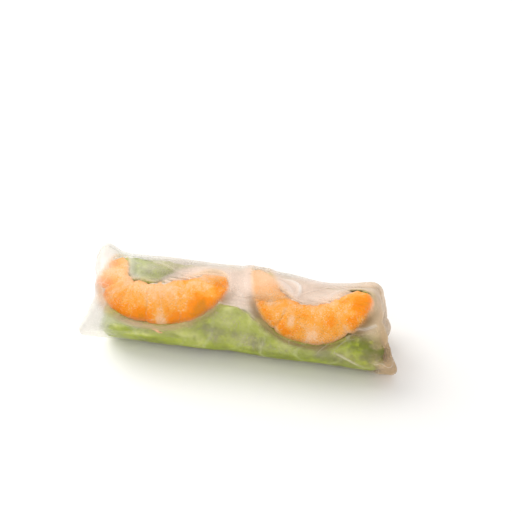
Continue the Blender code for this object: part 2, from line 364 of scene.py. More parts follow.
class Look:
    """A node material round one Principled shader, with short calls for its nodes."""

    def __init__(self, name):
        self.material = bpy.data.materials.new(name)
        self.material.use_nodes = True
        self.tree = self.material.node_tree
        self.shader = self.tree.nodes["Principled BSDF"]
        self.output = self.tree.nodes["Material Output"]

    def node(self, kind, settings=None, **inputs):
        node = self.tree.nodes.new(kind)
        for key, value in (settings or {}).items():
            setattr(node, key, value)
        for key, value in inputs.items():
            self.feed(node.inputs[key.replace("_", " ")], value)
        return node

    def feed(self, socket, value):
        if isinstance(value, bpy.types.NodeSocket):
            self.tree.links.new(value, socket)
        else:
            socket.default_value = value

    def value(self, label):
        return self.node("ShaderNodeAttribute", {"attribute_name": label}).outputs["Fac"]

    def colour(self, label):
        return self.node("ShaderNodeAttribute", {"attribute_name": label}).outputs["Color"]

    def math(self, operation, first, second=0.0, clamp=False):
        node = self.node("ShaderNodeMath", {"operation": operation, "use_clamp": clamp})
        self.feed(node.inputs[0], first)
        self.feed(node.inputs[1], second)
        return node.outputs[0]

    def plus(self, first, second):
        return self.math("ADD", first, second)

    def times(self, first, second):
        return self.math("MULTIPLY", first, second)

    def spread(self, texture, width):
        """A texture from 0 to 1, made to swing by width about 0."""
        return self.times(self.math("SUBTRACT", texture, 0.5), width)

    def threads(self, texture, reach):
        """1 along the lines where a texture passes its middle."""
        return self.ramp(self.math("ABSOLUTE", self.math("SUBTRACT", texture, 0.5)), reach, 0.0)

    def noise(self, size, detail=3.0, roughness=0.55, distortion=0.0, stretch=(1.0, 1.0, 1.0)):
        place = self.node("ShaderNodeTexCoord").outputs["Object"]
        scaled = self.node("ShaderNodeMapping", Vector=place, Scale=stretch).outputs["Vector"]
        texture = self.node("ShaderNodeTexNoise", Vector=scaled, Scale=1.0 / size, Detail=detail,
                            Roughness=roughness, Distortion=distortion)
        return texture.outputs["Fac"]

    def mix(self, share, first, second):
        node = self.node("ShaderNodeMix", {"data_type": "RGBA"})
        self.feed(node.inputs["Factor"], share)
        colour_inputs = [socket for socket in node.inputs if socket.type == "RGBA"]
        self.feed(colour_inputs[0], first)
        self.feed(colour_inputs[1], second)
        return [socket for socket in node.outputs if socket.type == "RGBA"][0]

    def ramp(self, value, low, high):
        node = self.node("ShaderNodeMapRange", {"interpolation_type": "SMOOTHSTEP"}, Value=value,
                         From_Min=low, From_Max=high)
        return node.outputs["Result"]

    def bump(self, height, distance, strength=1.0):
        node = self.node("ShaderNodeBump", Height=height, Distance=distance, Strength=strength)
        return node.outputs["Normal"]

    def blend(self, share, first, second):
        """A share of the second shader over the first."""
        node = self.node("ShaderNodeMixShader", Fac=share)
        self.tree.links.new(first.outputs[0], node.inputs[1])
        self.tree.links.new(second.outputs[0], node.inputs[2])
        return node

    def set(self, **inputs):
        for key, value in inputs.items():
            self.feed(self.shader.inputs[key.replace("_", " ")], value)


def rgb(red, green, blue):
    return (red, green, blue, 1.0)


FILM_IOR = 1.38
FILM_GLOSS = 0.55
FILM_GLOW = 0.3
LEAST_MILK = 0.01
# FILM_WHITE is painted light on the roll's left part, and it also whitens the creases and fine lines
FILM_WHITE = (0.97, 0.95, 0.92)
FILM_BEIGE = (0.87, 0.75, 0.66)
FILM_OVER_PRAWN = (0.97, 0.8, 0.58)
# Tan of the thicker paper at the right end, with painted shade in it
FILM_TAN_AND_SHADE = (0.86, 0.68, 0.43)
# Painted shade on the right end's lower folds
FILM_LOBE_SHADE = (0.62, 0.41, 0.22)
FILM_END = (0.8, 0.75, 0.68)
# Painted orange light from the prawns at the left, and painted shadow under the right prawn
FILM_PRAWN_LIGHT_LEFT = (0.77, 0.54, 0.35)
FILM_PRAWN_SHADOW_RIGHT = (0.26, 0.15, 0.035)


def film_look(name, strength):
    """Rice paper: wet gloss, and as milky as the attribute milk says."""
    look = Look(name)
    cloud = look.noise(0.006, detail=4.0)
    grain = look.noise(0.0007, detail=2.0)
    dimmed = look.node("ShaderNodeHueSaturation", Color=look.colour("film_colour"),
                       Value=look.plus(0.9, look.times(cloud, 0.2))).outputs["Color"]
    waver = look.noise(0.012, detail=1.5, distortion=0.4, stretch=(0.7, 1.0, 1.0))
    line = look.times(look.threads(waver, 0.01), look.ramp(look.noise(0.022, detail=1.0), 0.45, 0.65))
    granule = look.times(look.ramp(look.noise(0.0005, detail=1.0), 0.54, 0.72),
                         look.ramp(look.noise(0.007, detail=2.0), 0.38, 0.56))
    colour = look.mix(look.times(line, 0.5), dimmed, rgb(*FILM_WHITE))
    milk = look.plus(look.plus(look.value("milk"), look.times(line, 0.12)), look.times(granule, 0.24))
    half_clear = look.times(milk, look.math("SUBTRACT", 1.0, milk))
    uneven = look.times(half_clear, look.plus(look.spread(cloud, 0.3), look.spread(grain, 0.8)))
    milk = look.plus(look.plus(milk, uneven), look.spread(cloud, 0.1))
    milk = look.math("MULTIPLY", look.math("MAXIMUM", milk, LEAST_MILK), strength, clamp=True)
    creases = look.noise(0.0045, detail=5.0, distortion=0.6, stretch=(0.6, 1.0, 1.0))
    look.set(Base_Color=colour, Roughness=look.plus(0.15, look.times(cloud, 0.16)),
             Normal=look.bump(look.plus(creases, look.times(grain, 0.12)), 0.0007, 0.35),
             IOR=FILM_IOR, Specular_IOR_Level=FILM_GLOSS)
    glow = look.node("ShaderNodeBsdfTranslucent", Color=colour)
    body = look.blend(FILM_GLOW, look.shader, glow)
    whole = look.blend(milk, look.node("ShaderNodeBsdfTransparent"), body)
    look.tree.links.new(whole.outputs[0], look.output.inputs["Surface"])
    return look.material


PIGMENT = rgb(0.93, 0.265, 0.003)
PIGMENT_DEEP = rgb(0.72, 0.235, 0.001)
PIGMENT_SOFT = rgb(0.93, 0.39, 0.05)
FLESH = rgb(0.93, 0.53, 0.27)
GRANULE = rgb(0.97, 0.74, 0.5)


def prawn_look():
    """Cooked prawn: pale flesh under mottled orange, with fine darker threads."""
    look = Look("prawn")
    blotch = look.noise(0.003, detail=5.0, roughness=0.65, distortion=0.8)
    speck = look.noise(0.0006, detail=2.0)
    fibre = look.noise(0.0016, stretch=(1.6, 0.8, 0.8))
    threads = look.threads(look.noise(0.003, detail=5.0), 0.03)
    amount = look.plus(look.value("pigment"), look.spread(blotch, 1.5))
    amount = look.plus(look.plus(amount, look.spread(speck, 0.6)), look.times(threads, 0.38))
    colour = look.mix(look.ramp(amount, -0.35, 0.55), FLESH, PIGMENT_SOFT)
    colour = look.mix(look.ramp(amount, 0.35, 1.25), colour, PIGMENT)
    colour = look.mix(look.ramp(amount, 1.35, 2.2), colour, PIGMENT_DEEP)
    granule = look.ramp(look.noise(0.00055, detail=1.0), 0.52, 0.7)
    rough_skin = look.ramp(look.noise(0.0045, detail=2.0), 0.38, 0.58)
    granule = look.times(granule, look.times(rough_skin, look.ramp(amount, 1.5, 0.7)))
    colour = look.mix(look.times(granule, 0.5), colour, GRANULE)
    look.set(Base_Color=colour, Roughness=look.plus(0.3, look.times(fibre, 0.2)), Specular_IOR_Level=0.15,
             Normal=look.bump(fibre, 0.0004, 0.3))
    return look.material


LEAF_DARK = rgb(0.15, 0.17, 0.01)
LEAF_GREEN = rgb(0.34, 0.41, 0.018)
LEAF_PALE = rgb(0.62, 0.65, 0.2)
LEAF_VEIN = rgb(0.72, 0.74, 0.46)
LEAF_VIVID = rgb(0.46, 0.54, 0.02)


def lettuce_look():
    """A crinkled leaf: yellow green, paler on its veins, with painted light on its ridges and painted shade
    in its hollows from the tone value, and with vivid and dark spots.
    """
    look = Look("lettuce")
    fine = look.noise(0.0018, detail=4.0)
    vein = look.value("vein")
    tone = look.plus(look.value("tone"), look.spread(look.noise(0.011), 1.3))
    tone = look.plus(tone, look.spread(fine, 0.7))
    colour = look.mix(look.ramp(tone, -0.1, 0.5), LEAF_DARK, LEAF_GREEN)
    colour = look.mix(look.ramp(tone, 0.4, 1.1), colour, LEAF_PALE)
    vivid = look.ramp(look.noise(0.0026, roughness=0.6), 0.54, 0.66)
    colour = look.mix(look.times(vivid, 0.55), colour, LEAF_VIVID)
    shade = look.ramp(look.noise(0.0042, detail=4.0, distortion=0.5), 0.46, 0.34)
    colour = look.mix(look.times(shade, 0.35), colour, LEAF_DARK)
    look.set(Base_Color=look.mix(look.times(vein, 0.45), colour, LEAF_VEIN),
             Roughness=look.plus(0.38, look.times(fine, 0.2)),
             Normal=look.bump(look.plus(fine, vein), 0.0003, 0.6))
    return look.material


NOODLE_WARM = rgb(0.66, 0.52, 0.42)
NOODLE_PALE = rgb(0.8, 0.7, 0.6)


def noodle_look():
    """Rice noodles: moist and off-white."""
    look = Look("noodles")
    cloud = look.noise(0.005, detail=2.0)
    tone = look.plus(look.value("tone"), look.math("SUBTRACT", cloud, 0.5))
    look.set(Base_Color=look.mix(look.ramp(tone, 0.0, 1.0), NOODLE_WARM, NOODLE_PALE),
             Roughness=look.plus(0.26, look.times(cloud, 0.16)),
             Normal=look.bump(look.noise(0.0009), 0.0002, 0.3))
    return look.material


# ---- Prawns ----

PRAWN_STATIONS = 260
PRAWN_RING = 84
SQUARENESS = 3.2
SEGMENTS = 7
SEGMENT_RELIEF = 0.00065
PRAWN_TIP = 0.055
RAGGED = {"prawn_left": 0.0019, "prawn_right": 0.0007}
RAGGED_REACH = 0.38
EDGE_WAVE = 0.0009
JOINT_REACH = 0.06
SCALLOP = 0.07
MOTTLING = 0.45
MOTTLING_SIZE = 0.005
# How far noise bends the patches' outlines, along and across the prawn
PATCH_WARP = (0.014, 0.22)
PATCH_WARP_SIZE = 0.003
UNDERSIDE_PALER = 0.5

# Deep orange and bare places: (along, across from inner -1 to outer 1, reach along, reach across, amount)
PRAWN_PATCHES = {
    "prawn_left": (
        (0.095, 0.4, 0.03, 0.35, 0.55), (0.155, 0.35, 0.028, 0.8, -0.8), (0.245, 0.5, 0.024, 0.4, 0.6),
        (0.305, 0.7, 0.022, 0.6, -0.7), (0.385, 0.75, 0.045, 0.45, 0.65), (0.43, 0.75, 0.01, 0.3, -0.5),
        (0.49, 0.72, 0.05, 0.5, 0.85), (0.572, 0.75, 0.022, 0.55, -2), (0.65, 0.85, 0.045, 0.35, 1.2),
        (0.77, 0.6, 0.06, 0.5, 1.35), (0.745, -0.85, 0.05, 0.25, 0.55), (0.86, 0.4, 0.03, 0.5, -0.25),
        (0.95, 0.1, 0.05, 0.7, 0.5), (0.55, -0.6, 0.15, 0.4, -0.3), (0.25, -0.6, 0.1, 0.5, -0.3),
    ),
    "prawn_right": (
        (0.1, 0, 0.12, 1.5, -0.5), (0.15, 0.25, 0.035, 0.35, 0.5), (0.25, 0.3, 0.014, 0.35, 0.6),
        (0.285, 0.25, 0.02, 0.3, -0.7), (0.32, 0.55, 0.03, 0.2, 0.35), (0.385, 0.2, 0.018, 0.35, 0.6),
        (0.42, 0.58, 0.035, 0.22, 1), (0.43, 0.12, 0.02, 0.25, -0.9), (0.465, 0.15, 0.014, 0.3, 0.45),
        (0.52, -0.35, 0.06, 0.22, 0.4), (0.56, 0.35, 0.05, 0.4, -0.35), (0.655, 0, 0.035, 0.16, 0.6),
        (0.745, 0.55, 0.022, 0.25, 0.9), (0.76, 0.12, 0.018, 0.22, -0.6), (0.85, 0.45, 0.06, 0.7, 1.3),
        (0.8, -0.45, 0.05, 0.16, 0.6), (0.62, -0.9, 0.2, 0.35, -0.3),
    ),
}
# How much less pigment the outer rim has, and the pigment in the middle and its slope outwards
PALE_RIM = {"prawn_left": 0.0, "prawn_right": 0.7}
PIGMENT_BASE = {"prawn_left": (0.38, 0.62), "prawn_right": (0.42, 0.12)}

# Frills and notches of an edge: (along, reach, side, how far out)
EDGE_FRILLS = {
    "prawn_left": (
        (0.045, 0.018, 1, 0.001), (0.125, 0.026, 1, -0.0022), (0.205, 0.022, 1, 0.0016),
        (0.262, 0.014, 1, -0.0016), (0.1, 0.02, -1, 0.0006), (0.33, 0.02, -1, 0.001),
        (0.47, 0.03, -1, -0.0012), (0.56, 0.022, -1, 0.001), (0.76, 0.03, -1, -0.0006),
        (0.9, 0.02, -1, 0.0008),
    ),
    "prawn_right": (
        (0.15, 0.02, 1, -0.0008), (0.3, 0.016, -1, -0.0009), (0.69, 0.018, 1, -0.001),
        (0.8, 0.018, -1, 0.0008),
    ),
}


def signed_power(value, power):
    return np.sign(value) * np.abs(value) ** power


def segment_shape(along, across, seed):
    """Where each point is in its segment, from 0 at the joint to 1, its number and how raised it is."""
    bent = along + 0.018 * across**2 - 0.02 * across
    place = bent * SEGMENTS + 0.35 + 0.1 * np.sin(5.0 * bent + seed)
    place = place + 0.1 * np.sin(11.0 * bent + 2.0 * seed)
    part = place - np.floor(place)
    raised = smooth(part / 0.16) * (1 - 0.55 * part)
    return part, np.floor(place), raised


def prawn_edge(name, along, across, x, arc, seed):
    """How far frills, notches and raggedness push the outline out at each place."""
    ragged = EDGE_WAVE + RAGGED[name] * (1 - smooth(along / RAGGED_REACH))
    spot = stacked(np.sign(across) * 0.02, arc, x)
    ragged = ragged * layered_noise(spot, 0.0026, seed + 2)
    for at, reach, side, out in EDGE_FRILLS[name]:
        ragged = ragged + (out * bell(along - at, reach)) * np.clip(side * across, 0, 1)
    return ragged * signed_power(across, 3.0)


def prawn_pigment(name, along, across, part, strength, outer_side, spot, seed):
    """How orange the flesh is, from its segments, its rim, seeded mottling and the placed patches."""
    level, slope = PIGMENT_BASE[name]
    joint = bell(np.minimum(part, 1 - part), JOINT_REACH)
    rim = smooth((across - 0.62) / 0.35)
    pigment = level + slope * across + 0.22 * (part - 0.5) * outer_side - 0.3 * joint * strength
    pigment = pigment + MOTTLING * layered_noise(spot, MOTTLING_SIZE, seed + 7) - PALE_RIM[name] * rim
    warped_along = along + PATCH_WARP[0] * layered_noise(spot, PATCH_WARP_SIZE, seed + 20)
    warped_across = across + PATCH_WARP[1] * layered_noise(spot, PATCH_WARP_SIZE, seed + 24)
    for at, side, reach, reach_side, amount in PRAWN_PATCHES[name]:
        pigment = pigment + amount * bell(warped_along - at, reach) * bell(warped_across - side, reach_side)
    return pigment


def prawn_piece(name, material, seed):
    """A halved prawn: a curled body of overlapping segments, pressed flat against the paper."""
    along = np.linspace(0.0, 1.0, PRAWN_STATIONS)
    x, arc, width = prawn_line(PRAWNS[name], along)
    step_x, step_arc = np.gradient(x), np.gradient(arc)
    length = np.hypot(step_x, step_arc)
    flat_place = stacked(x, arc, seed * 0.1)
    width = width * (1 + 0.06 * noise(flat_place, 0.004, seed) + 0.04 * noise(flat_place, 0.0018, seed + 5))
    from_tip = np.minimum(along, 1 - along) / PRAWN_TIP
    rounded = np.sqrt(np.clip(1 - (1 - np.clip(from_tip, 0, 1)) ** 2, 0.003, 1))
    width = width * rounded
    thick = PRAWN_THICK * np.sqrt(np.clip(width / width.max(), 0.02, 1))
    out_x, out_arc = (-step_arc / length)[:, None], (step_x / length)[:, None]
    along, x, arc, width, rounded, thick = (
        values[:, None] for values in (along, x, arc, width, rounded, thick))
    beta = 2 * np.pi * np.arange(PRAWN_RING) / PRAWN_RING
    across = signed_power(np.cos(beta), 2 / SQUARENESS)[None, :]
    height = signed_power(np.sin(beta), 2 / SQUARENESS)[None, :]
    part, number, raised = segment_shape(along, across, seed)
    outer_side = smooth((across + 0.9) / 1.3)
    strength = outer_side * (0.75 + 0.25 * np.sin(4.1 * number + seed))
    sideways = width * across * (1 + SCALLOP * np.clip(across, 0, 1) * (raised - 0.5))
    sideways = sideways + prawn_edge(name, along, across, x, arc, seed)
    ring_x = x + sideways * out_x
    ring_arc = arc + sideways * out_arc
    spot = stacked(ring_x, ring_arc, seed * 0.1)
    pits = 0.0002 * (1 - crumple(spot, 0.0022, seed + 9)) + 0.00014 * (1 + noise(spot, 0.0042, seed + 4))
    pits = pits + 0.00007 * (1 + noise(spot, 0.0009, seed + 6))
    depth = PRAWN_DEPTH + thick / 2 * (1 - height)
    depth = depth + np.clip(height, 0, 1) * (SEGMENT_RELIEF * strength * (1 - raised) + pits) * rounded
    points = skin_point(ring_x, np.degrees(ring_arc / MEAN_RADIUS), depth)
    pigment = prawn_pigment(name, along, across, part, strength, outer_side, spot, seed)
    pigment = np.where(height < -0.3, pigment - UNDERSIDE_PALER, pigment)
    values = np.concatenate([pigment.ravel(), [pigment[0].mean(), pigment[-1].mean()]])
    return tube_piece(name + "_flesh", points, "pigment", values, material)


# ---- Lettuce ----

LEAF_FRONT = 147.0
LEAF_TONGUE = 23.0
LEAF_TONGUE_X = -0.003
LEAF_TONGUE_REACH = 0.011
LEAF_BACK = 420.0
LEAF_TOP_X = -0.039
LEAF_TOP_REACH = 0.013
LEAF_TOP = 50.0
LEAF_RIGHT_DROP = 22.0
LEAF_DROP_X = 0.016
LEAF_DROP_RAMP = 0.012
LEAF_ROWS = 190
LEAF_COLUMNS = 170
LEAF_THICK = 0.0007
LEAF_LEFT_GAP = 0.005
LEAF_RIGHT_GAP = 0.0024
LEAF_STRIP = 0.0018
LEAF_STRIP_THETA = 167.0
LEAF_STRIP_REACH = 16.0
LEAF_STEP = 0.0012
LEAF_LEAST_DEPTH = 0.0002
LEAF_LOOSE = 0.0017
LEAF_CURL = 0.0012
LEAF_CURL_REACH = 9.0
# The leaf lies close to the paper from this angle on, over the top, and between these in front
CLOSE_ON_TOP = 415.0
CLOSE_IN_FRONT = (176.0, 262.0)
# How much higher the inner leaf's front edge lies, and how far on its back edge
INNER_LEAF_FRONT = 4.0
INNER_LEAF_BACK = 5.0
LEAF_END_DROP = 0.0024
LEAF_END_REACH = 0.006
VEIN_SPACING = 0.0125
PRAWN_ROOM = 0.0068
PRAWN_ROOM_FULL = -0.0016
PRAWN_ROOM_RAMP = 0.0015

# Places where the leaf presses on the paper: (x, theta, reach in x, reach in theta, tone)
LEAF_TOUCHES = (
    (-0.046, 176, 0.0045, 7, 0.55), (-0.038, 188, 0.007, 5, 0.6), (-0.02, 176, 0.006, 7, 0.35),
    (-0.01, 150, 0.005, 9, 0.4), (-0.004, 131, 0.006, 7, 0.6), (0.006, 150, 0.009, 14, 0.35),
    (0.016, 168, 0.007, 10, 0.1), (0.047, 156, 0.007, 11, -0.45), (0.052, 176, 0.003, 16, -0.6),
    (0.056, 166, 0.003, 14, -0.7),
)


def leaf_front(x, raise_edge):
    """The angle of a leaf's front edge, ruffled, which reaches up between the prawns."""
    tongue = LEAF_TONGUE * bell(x - LEAF_TONGUE_X, LEAF_TONGUE_REACH)
    edge = stacked(x, 0.01, 0.01 * np.sign(raise_edge))
    ruffle = 5.0 * noise(edge, 0.0065, 21) + 2.5 * noise(edge, 0.0025, 22)
    return LEAF_FRONT - tongue - raise_edge + ruffle


def leaf_back(x):
    """The angle, past a whole turn, that a leaf's back edge reaches to."""
    top = LEAF_TOP * bell(x - LEAF_TOP_X, LEAF_TOP_REACH)
    return LEAF_BACK + top - LEAF_RIGHT_DROP * smooth((x - LEAF_DROP_X) / LEAF_DROP_RAMP)


def prawn_room(x, theta, inside=0.0):
    """How deep the prawns press the filling in below them, to a distance inside their outline."""
    outside = outside_prawns(x, theta) + inside
    return PRAWN_ROOM * (1 - smooth((outside - PRAWN_ROOM_FULL) / PRAWN_ROOM_RAMP))


def leaf_strip(theta):
    """1 at the front, where a strip of leaf reaches on into the right end's folds."""
    return bell(angle_between(theta, LEAF_STRIP_THETA), LEAF_STRIP_REACH)


def leaf_x(place, theta):
    """Where the leaves' station at place, from 0 at the left to 1, lies along X."""
    left = end_x("left", theta, FILLING_LEAN_SHARE) + LEAF_LEFT_GAP
    right = end_x("right", theta, FILLING_LEAN_SHARE) - LEAF_RIGHT_GAP + LEAF_STRIP * leaf_strip(theta)
    return left + place * (right - left)


def leaf_veins(x, theta, layer):
    """1 along the leaf's slanting side veins, 0 between them."""
    arc = arc_length(theta)
    spot = stacked(x, arc, 0.1 * layer)
    across = (x + 0.45 * arc) / VEIN_SPACING + 0.55 * noise(spot, 0.013, 41 + layer)
    from_vein = np.abs(across - np.round(across))
    fade = 0.5 + 0.5 * noise(spot, 0.009, 43 + layer)
    return bell(from_vein, 0.055) * fade


def leaf_sheet(layer):
    """Outer points of one leaf, and its tone and vein values."""
    place = np.linspace(0.0, 1.0, LEAF_ROWS)[:, None]
    share = np.linspace(0.0, 1.0, LEAF_COLUMNS)[None, :] ** 1.15
    across_front = leaf_x(place[:, 0], LEAF_FRONT)
    raised = layer * (INNER_LEAF_FRONT + 15.0 * bell(across_front + 0.043, 0.012))
    rough_front = leaf_front(across_front, raised)[:, None]
    back = leaf_back(leaf_x(place, LEAF_BACK)) + INNER_LEAF_BACK * layer
    theta = rough_front + share * (back - rough_front)
    x = leaf_x(place, theta)
    spot = roll_point(x, theta)
    wrinkle = crumple(spot, 0.0085, 31 + layer) * 0.6 + crumple(spot, 0.0038, 33 + layer) * 0.4
    closeness = np.zeros_like(x)
    # The tone is random, with painted light on the crinkles' ridges and painted shade in their hollows.
    tone = 0.3 + 0.3 * noise(spot, 0.01, 35 + layer) + 0.5 * (wrinkle - 0.6)
    for *where, change in LEAF_TOUCHES:
        share_here = patch(x, theta, *where)
        closeness = np.maximum(closeness, share_here)
        tone = tone + change * share_here
    on_top = smooth((theta - CLOSE_ON_TOP) / 12.0)
    in_front = smooth((theta - CLOSE_IN_FRONT[0]) / 14.0) * smooth((CLOSE_IN_FRONT[1] - theta) / 24.0)
    pressed = np.maximum(closeness, np.maximum(on_top, in_front))
    loose = (0.0001 + LEAF_LOOSE * (1 - wrinkle)) * (1 - 0.8 * pressed)
    curl = LEAF_CURL * (1 - smooth((theta - rough_front) / LEAF_CURL_REACH)) ** 2
    vein = leaf_veins(x, theta, layer)
    from_end = np.minimum(place, 1 - place) * (x[-1:] - x[:1])
    end_drop = LEAF_END_DROP * (1 - 0.4 * leaf_strip(theta)) * (1 - smooth(from_end / LEAF_END_REACH)) ** 2
    depth = LEAF_LEAST_DEPTH + loose * (1 - 0.6 * vein) + curl
    depth = np.maximum(depth, prawn_room(x, theta)) + end_drop
    return skin_point(x, theta, depth + LEAF_STEP * layer), tone, vein


def lettuce_piece(material):
    """Two crinkled leaves, one inside the other, wrapped from the front underneath to the back."""
    vertices, faces, tones, veins = [], [], [], []
    count = 0
    for layer in range(2):
        outer, tone, vein = leaf_sheet(layer)
        inner = outer - normals_of(outer) * LEAF_THICK
        sheet, _, _ = slab_faces(LEAF_ROWS, LEAF_COLUMNS)
        faces.append(sheet + count)
        vertices += [outer.reshape(-1, 3), inner.reshape(-1, 3)]
        tones += [tone.ravel(), tone.ravel()]
        veins += [vein.ravel(), vein.ravel()]
        count += 2 * LEAF_ROWS * LEAF_COLUMNS
    values = {"tone": np.concatenate(tones), "vein": np.concatenate(veins)}
    return add_mesh("lettuce_leaves", np.concatenate(vertices), np.concatenate(faces), values, [material])


# ---- Noodles ----

CORE_ROWS = 90
CORE_COLUMNS = 80
CORE_DEPTH = 0.0022
STRANDS = 44
STRAND_SEED = 60
STRANDS_FROM = 8.0
STRANDS_SPAN = 160.0
STRAND_RADIUS = 0.0008
STRAND_STATIONS = 110
STRAND_RING = 7
NOODLE_SURFACE = 0.0008
COVERED_FROM = LEAF_FRONT - 13.5
COVERED_MIDDLE = (LEAF_FRONT + LEAF_BACK) / 2
UNDER_LEAF = 0.003


def filling_depth(place, x, theta, least):
    """The depth of the noodles' surface: below the prawns, and below the leaf where it covers them."""
    turned = angle_between(theta, COVERED_MIDDLE) + COVERED_MIDDLE
    under_leaf = smooth((turned - COVERED_FROM) / 12.0) * smooth((leaf_back(x) + 10.0 - turned) / 10.0)
    least = least + UNDER_LEAF * under_leaf
    return np.maximum(least, prawn_room(x, theta, inside=0.0007)) + end_rounding(place, theta)


def noodle_core(material):
    """The middle of the bundle, with grooves between its strands."""
    place = np.linspace(0.0, 1.0, CORE_ROWS)[:, None]
    theta = np.linspace(0.0, 360.0, CORE_COLUMNS, endpoint=False)[None, :]
    x = filling_x(place, theta)
    spot = roll_point(x, theta) * np.array([0.25, 1.0, 1.0])
    depth = filling_depth(place, x, theta, CORE_DEPTH - 0.001) + 0.0008 * (1 - crumple(spot, 0.0026, 51))
    points = roll_point(x, theta, depth=depth + 0.0006)
    tone = np.concatenate([0.3 + 0.3 * noise(spot, 0.003, 52).ravel(), [0.3, 0.3]])
    return tube_piece("noodle_core", points, "tone", tone, material)


def round_strand(path, radius):
    """Rings of points along a path, with a radius at each station."""
    tangent = np.gradient(path, axis=0)
    tangent /= np.linalg.norm(tangent, axis=-1, keepdims=True)
    side = np.cross(tangent, np.array([0.0, 0.3, 1.0]))
    side /= np.linalg.norm(side, axis=-1, keepdims=True)
    above = np.cross(side, tangent)
    beta = 2 * np.pi * np.arange(STRAND_RING) / STRAND_RING
    ring = side[:, None] * np.cos(beta)[None, :, None] + above[:, None] * np.sin(beta)[None, :, None]
    return path[:, None] + ring * radius[:, None, None]


def noodle_strands(material):
    """Long strands that wander along the top and front of the bundle."""
    pick = np.random.default_rng(STRAND_SEED)
    vertices, faces, tones = [], [], []
    along = np.linspace(0.0, 1.0, STRAND_STATIONS)
    place = 0.006 + 0.988 * along
    from_tip = np.clip(np.minimum(along, 1 - along) / 0.006, 0, 1)
    ends = np.sqrt(np.clip(1 - (1 - from_tip) ** 2, 0.05, 1))
    count = STRAND_STATIONS * STRAND_RING + 2
    for strand in range(STRANDS):
        start = STRANDS_FROM + STRANDS_SPAN * (strand + pick.uniform(-0.4, 0.4)) / STRANDS
        waves = pick.uniform(0.6, 2.2, 2)
        swing = pick.uniform(2.0, 7.0, 2)
        phase = pick.uniform(0.0, 2 * np.pi, 3)
        theta = start + swing[0] * np.sin(2 * np.pi * waves[0] * along + phase[0])
        theta = theta + swing[1] * np.sin(2 * np.pi * waves[1] * 2 * along + phase[1])
        x = filling_x(place, theta)
        lift = 0.0006 * (1 + np.sin(2 * np.pi * waves[1] * along + phase[2])) * pick.uniform(0.3, 1.0)
        depth = filling_depth(place, x, theta, NOODLE_SURFACE + STRAND_RADIUS * 0.4) + lift
        path = skin_point(x, theta, depth + STRAND_RADIUS)
        points = round_strand(path, STRAND_RADIUS * pick.uniform(0.85, 1.15) * ends)
        faces += tube_faces(STRAND_STATIONS, STRAND_RING, strand * count)
        vertices += [points.reshape(-1, 3), path[:1], path[-1:]]
        tones.append(np.full(count, pick.uniform(0.35, 0.9)))
    values = {"tone": np.concatenate(tones)}
    return add_mesh("noodle_strands", np.concatenate(vertices), faces, values, [material])


# ---- A small pink shred under the paper, in front of the lettuce ----

SHRED = ((-0.0322, 171.0), (-0.0315, 174.5), (-0.0306, 178.0), (-0.0296, 179.5))
SHRED_RADIUS = 0.0011
SHRED_DEPTH = 0.00004
SHRED_FLATNESS = 0.3
SHRED_PIGMENT = -0.35


def shred_piece(material):
    """A short flat shred that lies against the paper."""
    along = np.linspace(0.0, 1.0, 30)
    x, theta = (through(values, along)[:, None] for values in zip(*SHRED))
    beta = 2 * np.pi * np.arange(16) / 16
    radius = SHRED_RADIUS * np.sqrt(np.clip(1 - (2 * along - 1) ** 4, 0.02, 1))
    radius = (radius * (1 + 0.25 * np.sin(9 * along)))[:, None]
    depth = SHRED_DEPTH + SHRED_FLATNESS * radius * (1 - np.sin(beta))
    points = skin_point(x + radius * np.cos(beta), theta, depth)
    values = np.full(len(along) * len(beta) + 2, SHRED_PIGMENT)
    return tube_piece("pink_shred", points, "pigment", values, material)


# ---- The rice paper ----

FACE_STEPS = 15
RIM_STEPS = 5
BARREL_STEPS = 136
TURN_STEPS = 164
FLAP_STEPS = 66
FLAP_MIDDLE = 473.0
FLAP_SIDE = 425.0
FLAP_CENTRE_X = 0.005
FLAP_FLAT_HALF = 0.014
FLAP_SLOPE_LENGTH = 0.036

# Clearness: how milky the paper is where it touches, and where it stands clear of, what is below
MILK_TOUCHING = 0.1
MILK_APART = 0.78
GAP_REACH = 0.0024
NO_GAP = 0.0004
DEEPEST_GAP = 0.02
RAY_START = 0.0004
GAP_SMOOTHINGS = 2
PRAWN_CLEAR = 0.8
EDGE_MILK = 0.34
LOW_EDGE_MILK = 0.24
LOW_SIDE_FROM = 112.0
LOW_SIDE_RAMP = 14.0
CRISP_X = -0.015
CRISP_REACH = 0.011
EDGE_MILK_AT = 0.0002
EDGE_MILK_REACH = 0.0017
END_MILK = 0.22
END_MILK_REACH = 0.007
CREASE_MILK = 0.9
FACE_CLEAR = 0.22
CLEAREST = -0.12
# Bands along the flap's edge: (degrees inside it, reach, share, the milk there)
FLAP_BANDS = ((0, 9.0, 0.6, 0.0), (3.5, 1.4, 0.22, 1.0), (0, 1.2, 1.0, 0.0))

# Milkier (+) or clearer (-) places: (x, theta, reach in x, reach in theta, change)
MILK_PATCHES = (
    (0.008, 80, 0.0075, 22, 0.42), (-0.054, 100, 0.004, 30, 0.4), (-0.013, 82, 0.009, 7, 0.45),
    (-0.035, 100, 0.006, 10, -0.35), (-0.058, 180, 0.01, 45, 0.55), (0.005, 112, 0.008, 9, 0.25),
    (0.048, 156, 0.007, 12, -0.85), (0.0568, 167, 0.0026, 12, -0.92), (0.0425, 108, 0.004, 14, -0.85),
    (-0.009, 102, 0.004, 11, -0.6), (-0.041, 163, 0.0075, 8, 0.45), (-0.0455, 178, 0.005, 6, -0.85),
    (-0.037, 190, 0.008, 5, -0.85), (-0.015, 200, 0.03, 14, -0.6), (0.025, 200, 0.025, 14, -0.6),
    (-0.038, 82, 0.011, 18, 0.38), (-0.06, 120, 0.006, 60, 0.5), (0.057, 88, 0.0045, 34, 0.45),
    (0.0435, 96, 0.0045, 16, -0.85), (0.04, 70, 0.005, 7, 0.6), (-0.041, 150, 0.009, 10, -0.7),
)
